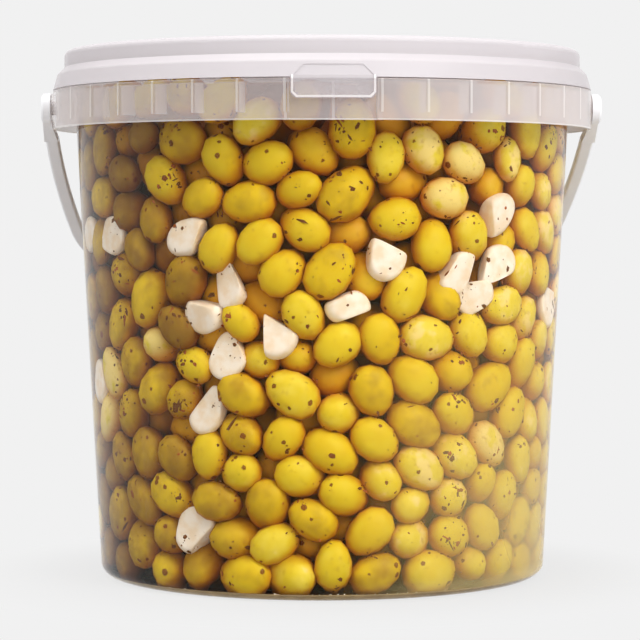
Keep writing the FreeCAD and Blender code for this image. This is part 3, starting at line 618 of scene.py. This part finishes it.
def skin_marks(n, place, colour, ends):
    """Scars with ragged outlines, more of them near an olive's ends, then pores and the stem's end.

    A scar fills part of a Voronoi cell: it reaches as far from the cell's point as the cell's own
    random number, raised to a power, allows.
    """
    ragged = n.add("ShaderNodeTexNoise", "Color", {"Vector": place, "Scale": 9.0, "Detail": 2.0})
    shifted = n.add("ShaderNodeMix", 1, {"Factor": 0.10, 4: place, 5: ragged}, data_type="VECTOR")
    cells = n.tree.nodes.new("ShaderNodeTexVoronoi")
    cells.inputs["Scale"].default_value = 2.1
    n.set(cells.inputs["Vector"], shifted)
    chance = n.math("POWER", n.add("ShaderNodeSeparateColor", 0, {0: cells.outputs["Color"]}), 2.5)
    size = n.math("MULTIPLY", chance, n.ramp(ends, 0.3, 0.9, 0.2, 0.34))
    scar = n.ramp(n.math("SUBTRACT", cells.outputs["Distance"], size), -0.03, 0.03, 0.9, 0.0)
    colour = n.mix(scar, colour, SCAR)
    pores = n.add("ShaderNodeTexVoronoi", "Distance", {"Vector": place, "Scale": 7.0})
    in_patches = n.ramp(n.noise(place, 2.2, 1.0), 0.42, 0.62)
    pore = n.math("MULTIPLY", n.ramp(pores, 0.05, 0.14, 1.0, 0.0), in_patches)
    colour = n.mix(n.math("MULTIPLY", pore, 0.5), colour, PORE)
    return n.mix(n.ramp(ends, 0.965, 0.995, 0.0, 0.6), colour, STEM_END)


def olive_skin():
    """Waxy yellow-green skin: uneven ripeness with painted side shade and light, bruises, pores,
    painted shade on the rims and undersides, and browner deeper in the brine.
    """
    n = Nodes("olive_skin")
    place = n.attribute("place")
    slow = n.math("SUBTRACT", n.noise(place, 1.3, 2.0), 0.5)
    patch = n.noise(place, 3.4, 3.0, 0.6)
    # the tint brings in painted shade towards -X and painted light towards +X
    ripeness = n.math("ADD", n.attribute("tint", "Fac"), n.math("MULTIPLY", slow, 0.6), clamp=True)
    colour = n.colour_ramp(ripeness, RIPENESS)
    colour = n.mix(n.ramp(patch, 0.56, 0.76, 0.0, 0.4), colour, BRUISE)
    ends = n.math("ABSOLUTE", n.attribute("along", "Fac"))
    colour = skin_marks(n, place, colour, ends)
    # painted shade on the olives' rims and undersides, where neighbours and brine would shade them
    colour = n.tinted(n.ramp(n.outward_tilt(0.35), 0.1, 0.85, 0.75, 0.0), colour, PAINTED_RIM_SHADE)
    gap = n.wall_gap()
    colour = n.tinted(n.ramp(gap, 1 * MM, 10 * MM), colour, SHALLOW_TINT)
    colour = n.tinted(n.ramp(gap, 9 * MM, 30 * MM), colour, DEEP_TINT)
    return n.finish(n.principled(colour, 0.5, 0.2, Normal=n.bump(patch, 0.12)))


def garlic_flesh():
    """Cream garlic, a little uneven."""
    n = Nodes("garlic_flesh")
    place = n.attribute("place")
    colour = n.mix(n.ramp(n.noise(place, 1.5, 2.0), 0.35, 0.7), rgb(255, 246, 242), rgb(246, 226, 206))
    return n.finish(n.principled(colour, 0.45, 0.3, Normal=n.bump(n.noise(place, 6.0, 3.0), 0.2)))


def dried_herb():
    """Dark brown to rust-red dried herb."""
    n = Nodes("dried_herb")
    rusty = n.ramp(n.attribute("tint", "Fac"), 0.55, 1.0)
    return n.finish(n.principled(n.mix(rusty, rgb(112, 68, 28), rgb(168, 92, 40)), 0.7, 0.2))


def speckled(name, scale, detail, dark, light):
    """A dull material that changes between two colours with noise on Object coordinates."""
    n = Nodes(name)
    _, _, place = n.radius_and_height()
    return n.finish(n.principled(n.mix(n.noise(place, scale, detail), dark, light), 0.8, 0.1))


def painted_shade_core():
    """Painted shade for the middle of the heap, lumpy dark brown where deep olives lie in shade."""
    return speckled("painted_shade_core", 60.0, 2.0, rgb(46, 26, 10), rgb(96, 60, 22))


def brown_sediment():
    """Fine brown sediment."""
    return speckled("brown_sediment", 160.0, 3.0, rgb(118, 98, 72), rgb(176, 154, 120))


def clear_brine():
    """Yellow brine: it bends the view but lets the lamps through.

    Its mirror is dimmed where it is seen straight on, because plastic lies against it.
    """
    n = Nodes("clear_brine")
    water = n.add("ShaderNodeBsdfPrincipled", 0, {
        "Base Color": rgb(255, 252, 238), "Roughness": 0.02, "IOR": 1.38, "Transmission Weight": 1.0,
        "Specular Tint": rgb(150, 150, 150)})
    path = n.tree.nodes.new("ShaderNodeLightPath")
    clear = n.add("ShaderNodeBsdfTransparent", 0, {"Color": rgb(255, 252, 242)})
    shader = n.add("ShaderNodeMixShader", 0, {0: path.outputs["Is Shadow Ray"], 1: water, 2: clear})
    return n.finish(shader)


# wall colour, for its haze and for the painted sheen low down towards +X
WALL_TONE_AND_SHEEN = rgb(252, 227, 158)
# collar colour, also the colour of the painted light towards +X
COLLAR_TONE_AND_LIGHT = rgb(240, 231, 230)
WHITE_SEAM = rgb(255, 250, 248)
IN_THE_SKIN = (117.2 * MM, 117.8 * MM)  # radii within the collar's skin, between ribs and outside
WALL_HAZE = 0.015              # how hazy the wall is everywhere, before noise varies it,
PAINTED_LOW_SHEEN = 0.62                # how much painted sheen low down towards +X,
PAINTED_FOOT_SHEEN = 0.45               # more of that painted sheen at its foot towards +X,
EDGE_HAZE = 0.06               # and where it is seen edge on
COLLAR_MILK_AND_PAINTED_LIGHT = (0.22, 0.38)     # how milky the collar is, from -X to +X; the rise towards +X is painted light,
ASLANT_MILK = 0.3              # more where it is seen aslant,
SEAM_MILK = 0.14               # over a rib and along its lower edge,
RIB_MILK = 0.26                # and on the ribs inside it


def rib_marks(n, radius, height, x, y, collar):
    """1 on the collar's skin over a rib or along its lower lip, and 1 on the ribs inside it.

    The ribs stand at whole pitches of the angle from -Y; none stands behind the pull tab.
    """
    pitch = 2 * math.pi / RIB_PITCHES
    turn = n.math("ARCTAN2", x, n.math("MULTIPLY", y, -1.0))
    nearest = n.math("MULTIPLY", n.math("ROUND", n.math("DIVIDE", turn, pitch)), pitch)
    aside = n.math("MULTIPLY", n.math("ABSOLUTE", n.math("SUBTRACT", turn, nearest)), radius)
    on_rib = n.ramp(aside, 0.4 * MM, 0.7 * MM, 1.0, 0.0)
    seam = n.math("MULTIPLY", on_rib, n.ramp(radius, *IN_THE_SKIN))
    seam = n.math("MULTIPLY", seam, n.ramp(n.math("ABSOLUTE", turn), pitch * 0.9, pitch * 0.92))
    seam = n.math("MULTIPLY", seam, n.ramp(height, COLLAR_LOW + 3.1 * MM, COLLAR_LOW + 3.4 * MM))
    lip = n.ramp(height, COLLAR_LOW + 0.3 * MM, COLLAR_LOW + 0.8 * MM, 1.0, 0.0)
    bright = n.math("MAXIMUM", seam, n.math("MULTIPLY", lip, collar))
    inner_rib = n.math("MULTIPLY", on_rib, n.ramp(radius, *IN_THE_SKIN, 1.0, 0.0))
    return bright, inner_rib


def natural_plastic():
    """Natural polypropylene: clear where the wall is thin, milky at the collar, ribs and rim.

    The wall is hazy where it is seen edge on, and has a painted sheen low down towards +X,
    most of all at its foot.
    The collar is milkier towards +X, which is painted light, and whiter at the ribs and along
    its lower edge.
    """
    n = Nodes("clear_plastic")
    radius, height, place = n.radius_and_height()
    split = n.tree.nodes.new("ShaderNodeSeparateXYZ")
    n.set(split.inputs[0], place)
    x, y, _ = split.outputs
    gap = n.wall_gap()
    outside = n.ramp(gap, -1.0 * MM, -0.4 * MM, 1.0, 0.0)
    beyond_wall = n.ramp(gap, -2.2 * MM, -1.7 * MM, 1.0, 0.0)
    above_lip = n.ramp(height, COLLAR_LOW - 0.6 * MM, COLLAR_LOW + 0.2 * MM)
    collar = n.math("MULTIPLY", above_lip, beyond_wall)

    # painted sheen: light and reflection on the +X side, low down and most of all at the foot
    low_sheen = n.ramp(height, 15 * MM, 150 * MM, 1.0, 0.0)
    low_sheen = n.math("MULTIPLY", low_sheen, n.ramp(x, 0.0, 100 * MM))
    foot_sheen = n.ramp(height, 3 * MM, 10 * MM, 1.0, 0.0)
    foot_sheen = n.math("MULTIPLY", foot_sheen, n.ramp(x, -20 * MM, 90 * MM))
    haze_and_sheen = n.math("MULTIPLY_ADD", low_sheen, PAINTED_LOW_SHEEN, WALL_HAZE)
    haze_and_sheen = n.math("MULTIPLY_ADD", foot_sheen, PAINTED_FOOT_SHEEN, haze_and_sheen)
    edge = n.math("MULTIPLY", n.math("POWER", n.facing(0.22), 3.0), EDGE_HAZE)
    thin = n.math("ADD", n.math("MULTIPLY", n.noise(place, 14.0, 2.0), haze_and_sheen), edge)
    thin = n.math("MULTIPLY", outside, thin)

    bright, inner_rib = rib_marks(n, radius, height, x, y, collar)
    deep_view = n.math("MULTIPLY", n.math("POWER", n.facing(0.5), 1.5), ASLANT_MILK)
    # milkier towards +X: painted light
    milk = n.math("ADD", n.ramp(x, -30 * MM, 70 * MM, *COLLAR_MILK_AND_PAINTED_LIGHT), deep_view)
    milk = n.math("MULTIPLY_ADD", bright, SEAM_MILK, milk)
    milk = n.math("MULTIPLY_ADD", inner_rib, RIB_MILK, milk)
    alpha = n.math("MAXIMUM", thin, n.math("MULTIPLY", collar, milk), clamp=True)
    colour = n.mix(bright, n.mix(collar, WALL_TONE_AND_SHEEN, COLLAR_TONE_AND_LIGHT), WHITE_SEAM)
    return n.finish(n.principled(colour, 0.15, 0.25, Alpha=alpha))


def cloudy(n, place, colour, duller):
    """A colour with faint slow clouds of a duller one."""
    return n.mix(n.ramp(n.noise(place, 22.0, 3.0), 0.3, 0.7, 0.0, 0.35), colour, duller)


LID_ALPHA = 0.6
TAB_ALPHA = 0.26               # the pull tab is a single thin sheet
LINE_MORE_ALPHA = 0.35         # on the raised line across the tab


def lid_plastic():
    """Milky polypropylene of the lid; the pull tab is thinner and its raised line is whiter."""
    n = Nodes("milky_plastic")
    radius, height, place = n.radius_and_height()
    colour = cloudy(n, place, rgb(229, 223, 226), rgb(221, 215, 218))
    tab = n.ramp(height, SKIRT_LOW - 1.2 * MM, SKIRT_LOW - 0.2 * MM, 1.0, 0.0)
    line = n.ramp(radius, SKIRT_RADIUS + 0.1 * MM, SKIRT_RADIUS + 0.3 * MM)
    colour = n.mix(line, colour, rgb(255, 250, 250))
    alpha = n.math("MULTIPLY_ADD", tab, TAB_ALPHA - LID_ALPHA, LID_ALPHA)
    alpha = n.math("MULTIPLY_ADD", line, LINE_MORE_ALPHA, alpha, clamp=True)
    bump = n.bump(n.noise(place, 160.0, 2.0), 0.06, 0.3 * MM)
    return n.finish(n.principled(colour, 0.42, 0.3, Alpha=alpha, Normal=bump))


def bail_plastic():
    """White polypropylene of the bail, satin."""
    n = Nodes("bail_plastic")
    _, _, place = n.radius_and_height()
    return n.finish(n.principled(cloudy(n, place, rgb(249, 248, 250), rgb(244, 242, 246)), 0.32, 0.4))


# ---------------------------------------------------------------- contents
LEAST_RIPE = 0.28
RIPENESS_RANGE = 0.7
PAINTED_SHADE_MINUS_X = 0.52                  # painted shade, taken off the ripeness at the far -X side
PAINTED_LIGHT_PLUS_X = 0.16                   # painted light, added to it at the far +X side
CREAM_SHARE = 0.04             # share of the olives that are nearly cream


def olive_ripeness_and_painted_side_light(centre):
    """Ripeness of each piece from 0 to 1, with painted shade towards -X and a little painted light
    towards +X.
    """
    # painted shade: olives towards -X are made duller, as if less light fell there
    painted_shade_side = np.clip((-centre[:, 0] / MM - 25) / 60, 0, 1)
    ripeness = LEAST_RIPE + RIPENESS_RANGE * rng.beta(2.2, 2.0, len(centre))
    tint = np.clip(ripeness - PAINTED_SHADE_MINUS_X * painted_shade_side, 0, 1)
    # painted light: olives towards +X are made paler, as if more light fell there
    tint += PAINTED_LIGHT_PLUS_X * np.clip(centre[:, 0] / MM / 90, 0, 1)
    tint[rng.random(len(centre)) < CREAM_SHARE] = 1.0
    return tint


OLIVE_FLECKS = 5600
GARLIC_FLECKS = 150
NEAR_WALL = 17 * MM
MEETING = 21 * MM              # centres closer than this are taken to touch
MEETING_SHARE = 0.45           # share of the places where pieces meet that hold crumbs
CRUMBS_PER_PLACE = 8
CRUMBS_OUTWARD = 4.5 * MM      # from between two centres towards the wall
CRUMB_SPREAD = 1.7 * MM


def crumb_places(centre, width):
    """Places, normals and half widths of the herb crumbs caught where pieces near the wall meet."""
    depth = wall_inner(centre[:, 2]) - np.linalg.norm(centre[:, :2], axis=1)
    near = np.nonzero(depth < NEAR_WALL)[0]
    gap = np.linalg.norm(centre[near][:, None] - centre[near][None], axis=-1)
    a, b = np.nonzero(np.triu((gap > 0) & (gap < MEETING), 1))
    chosen = rng.random(len(a)) < MEETING_SHARE
    a, b = near[a[chosen]], near[b[chosen]]
    weighted = centre[a] * width[b][:, None] + centre[b] * width[a][:, None]
    meet = weighted / (width[a] + width[b])[:, None]
    meet += unit(meet * [1, 1, 0]) * CRUMBS_OUTWARD
    place = np.repeat(meet, CRUMBS_PER_PLACE, 0)
    place = place + rng.normal(0, CRUMB_SPREAD, place.shape)
    normal = unit(unit(place * [1, 1, 0]) + rng.normal(0, 0.5, place.shape))
    size = rng.gamma(2.5, 0.16, len(place)).clip(0.15, 1.0) * MM
    return place, normal, size


def make_herbs(olives, garlic, centre, width):
    """Flecks on the outward side of the outer olives and garlic, and crumbs where pieces meet."""
    olive_place, olive_normal = scatter_on(olives, OLIVE_FLECKS)
    garlic_place, garlic_normal = scatter_on(garlic, GARLIC_FLECKS)
    size = rng.gamma(1.6, 0.33, OLIVE_FLECKS + GARLIC_FLECKS).clip(0.15, 1.5) * MM
    crumb_place, crumb_normal, crumb_size = crumb_places(centre, width)
    place = np.concatenate([olive_place, garlic_place, crumb_place])
    normal = np.concatenate([olive_normal, garlic_normal, crumb_normal])
    size = np.concatenate([size, crumb_size])
    stretch = 1 + rng.gamma(0.8, 0.55, len(place))
    return fleck_mesh("herb_flecks", place, normal, size, stretch)


GARLIC_CRUMBS = 170


def make_garlic_crumbs():
    """Crumbs of garlic on the floor, by the wall."""
    count = GARLIC_CRUMBS
    angle = rng.uniform(0, 2 * math.pi, count)
    reach = wall_inner(FLOOR) - rng.gamma(2.0, 2.0, count) * MM - 1.8 * MM
    height = 0 * angle + FLOOR + 0.6 * MM
    place = np.stack([reach * np.cos(angle), reach * np.sin(angle), height], -1)
    upward = unit(np.array([0, 0, 1.0]) + rng.normal(0, 0.4, (count, 3)))
    size = rng.uniform(0.3, 0.8, count) * MM
    return fleck_mesh("garlic_crumbs", place, upward, size, np.ones(count))


def make_core():
    """A plain drum in the middle of the heap, dark as painted shade in place of the deep olives."""
    return turned_solid("heap_core", [(0, CORE_LOW), (CORE_RADIUS, CORE_LOW), (CORE_RADIUS, CORE_HIGH),
                                      (0, CORE_HIGH)], 48, smooth=False)


def make_sediment():
    """Brown sediment that has sunk to the floor and a little way into it, heaped at its edge."""
    low = 1.4 * MM
    edge = wall_inner(FLOOR) - 1.6 * MM
    middle_top = FLOOR + 0.3 * MM
    edge_top = FLOOR + 0.5 * MM
    return turned_solid("sediment", [
        (0, low), (edge - 1.2 * MM, low), (edge, FLOOR), (edge, edge_top),
        (edge - 9 * MM, middle_top), (0, middle_top)], 128, smooth=False)


def make_brine():
    """The brine, a solid that reaches into the wall and the base, so that no air shows between.

    Its foot is an arc inside the pail's rounded corner.  Narrow rings near its rim keep the smooth
    shading of the tall side and the flat top apart.
    """
    skin = 0.15 * MM           # plastic that is left outside the brine
    bite = WALL - skin
    corner = 6.0 * MM - skin
    bottom = 0.4 * MM
    turn = np.linspace(-math.pi / 2, 0, 9)
    low_radius = wall_inner(bottom + corner) + bite - corner
    bend = [(low_radius + corner * math.cos(t), bottom + corner + corner * math.sin(t)) for t in turn]
    rim = wall_inner(BRINE_TOP) + bite
    crisp = 0.4 * MM
    return turned_solid("brine", [(0, bottom)] + bend + [
        (rim - 3 * crisp * WALL_DRAFT, BRINE_TOP - 3 * crisp), (rim, BRINE_TOP - crisp),
        (rim - crisp, BRINE_TOP), (rim - 3 * crisp, BRINE_TOP), (0, BRINE_TOP)], 256)


def make_contents():
    """Olives, garlic, herbs, core, sediment and brine in place of the plain solid."""
    centre, axis, length, width, is_garlic = pack_contents()
    tint = olive_ripeness_and_painted_side_light(centre)
    olive = ~is_garlic
    olives = olive_mesh("olives", centre[olive], axis[olive], length[olive], width[olive], tint[olive])
    olives.data.materials.append(olive_skin())
    garlic = garlic_mesh("garlic_pieces", centre[is_garlic])
    garlic.data.materials.append(garlic_flesh())
    herbs = make_herbs(olives, garlic, centre, width)
    herbs.data.materials.append(dried_herb())
    crumbs = make_garlic_crumbs()
    crumbs.data.materials.append(garlic.data.materials[0])
    core = make_core()
    core.data.materials.append(painted_shade_core())
    sediment = make_sediment()
    sediment.data.materials.append(brown_sediment())
    brine = make_brine()
    brine.data.materials.append(clear_brine())
    for piece in [olives, garlic, crumbs, herbs, core, sediment, brine]:
        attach(piece, "pail")
        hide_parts("olives_in_brine")


# ---------------------------------------------------------------- studio
BACKGROUND = rgb(241, 241, 241)
SKY_LEVEL = 0.72
FLOOR_REACH = 1.6
FLOOR_BELOW = 0.2 * MM         # how far the floor is under the foot ring
SHADOW_FADES = (0.10, 0.17)    # radii between which the shadow fades out
LENS = 146.25                  # focal length and sensor width, in mm
SENSOR = 36
CAMERA_DISTANCE = 1.1643
CAMERA_HEIGHT = 0.1549
CAMERA_ASIDE = -0.9 * MM
CAMERA_DOWN = 2.0485526        # degrees below level
MIDDLE = (0, 0, 0.12)          # the point that two of the lamps aim at


def make_world():
    """A pale background where it is seen straight, through brine or in a mirror; else an even sky."""
    world = bpy.data.worlds.new("studio")
    bpy.context.scene.world = world
    world.use_nodes = True
    tree = world.node_tree
    tree.nodes.clear()
    path = tree.nodes.new("ShaderNodeLightPath")
    through = tree.nodes.new("ShaderNodeMath")
    through.operation = "MAXIMUM"
    tree.links.new(path.outputs["Is Camera Ray"], through.inputs[0])
    tree.links.new(path.outputs["Is Transmission Ray"], through.inputs[1])
    seen = tree.nodes.new("ShaderNodeMath")
    seen.operation = "MAXIMUM"
    tree.links.new(through.outputs[0], seen.inputs[0])
    tree.links.new(path.outputs["Is Glossy Ray"], seen.inputs[1])
    pale = tree.nodes.new("ShaderNodeBackground")
    pale.inputs["Color"].default_value = BACKGROUND
    sky = tree.nodes.new("ShaderNodeBackground")
    sky.inputs["Color"].default_value = (1, 1, 1, 1)
    sky.inputs["Strength"].default_value = SKY_LEVEL
    mix = tree.nodes.new("ShaderNodeMixShader")
    tree.links.new(seen.outputs[0], mix.inputs[0])
    tree.links.new(sky.outputs[0], mix.inputs[1])
    tree.links.new(pale.outputs[0], mix.inputs[2])
    output = tree.nodes.new("ShaderNodeOutputWorld")
    tree.links.new(mix.outputs[0], output.inputs["Surface"])


def make_floor():
    """A pale floor that fades into the background and keeps a faint shadow of the pail."""
    points, quads = turned_surface([(0.001, 0.0), (0.32, 0.0), (FLOOR_REACH, 0.0)], 64)
    floor = new_object("floor", points - [0, 0, FLOOR_BELOW], quads[:, ::-1].copy())
    n = Nodes("pale_floor")
    radius, _, _ = n.radius_and_height()
    shade = n.add("ShaderNodeBsdfDiffuse", 0, {"Color": rgb(196, 196, 196)})
    flat = n.add("ShaderNodeEmission", 0, {"Color": BACKGROUND, "Strength": 1.0})
    path = n.tree.nodes.new("ShaderNodeLightPath")
    seen = n.math("MAXIMUM", path.outputs["Is Camera Ray"], path.outputs["Is Transmission Ray"])
    share = n.math("MULTIPLY", seen, n.ramp(radius, *SHADOW_FADES, 0.85, 1.0))
    shader = n.add("ShaderNodeMixShader", 0, {0: share, 1: shade, 2: flat})
    floor.data.materials.append(n.finish(shader))
    floor.visible_glossy = False


def make_lamp(name, place, aim, width, height, watts, diffuse=True):
    """A rectangular soft lamp at a place, aimed at a point."""
    data = bpy.data.lights.new(name, "AREA")
    data.shape = "RECTANGLE"
    data.size = width
    data.size_y = height
    data.energy = watts
    lamp = bpy.data.objects.new(name, data)
    bpy.context.scene.collection.objects.link(lamp)
    lamp.location = place
    lamp.rotation_euler = (Vector(aim) - Vector(place)).to_track_quat("-Z", "Y").to_euler()
    lamp.visible_diffuse = diffuse
    lamp.visible_camera = False
    lamp.visible_transmission = False


def make_camera():
    """A long lens, a little above the pail's middle, turned a little to the tab's left."""
    data = bpy.data.cameras.new("camera")
    data.sensor_width = SENSOR
    data.lens = LENS
    camera = bpy.data.objects.new("camera", data)
    bpy.context.scene.collection.objects.link(camera)
    turn = math.radians(FRONT_TURN)
    camera.location = (CAMERA_DISTANCE * math.sin(turn) + CAMERA_ASIDE,
                       -CAMERA_DISTANCE * math.cos(turn), CAMERA_HEIGHT)
    camera.rotation_euler = (math.pi / 2 - math.radians(CAMERA_DOWN), 0, turn)
    bpy.context.scene.camera = camera


make_camera()
make_world()
make_floor()
make_lamp("key", (0.75, -1.0, 1.05), MIDDLE, 0.6, 0.6, 11.8)
make_lamp("left_box", (-0.586, -0.213, 0.3), (0.354, 0.13, 0.3), 0.636, 1.6, 1.0, diffuse=False)
make_lamp("top", (-0.35, -0.25, 1.2), MIDDLE, 0.8, 0.8, 7.5)

make_contents()

for name, material in (("pail", natural_plastic()), ("lid", lid_plastic()), ("handle", bail_plastic())):
    node = bpy.data.objects[name]
    node.data.materials.clear()
    node.data.materials.append(material)

scene = bpy.context.scene
scene.view_settings.view_transform = "Standard"
scene.cycles.transparent_max_bounces = 24
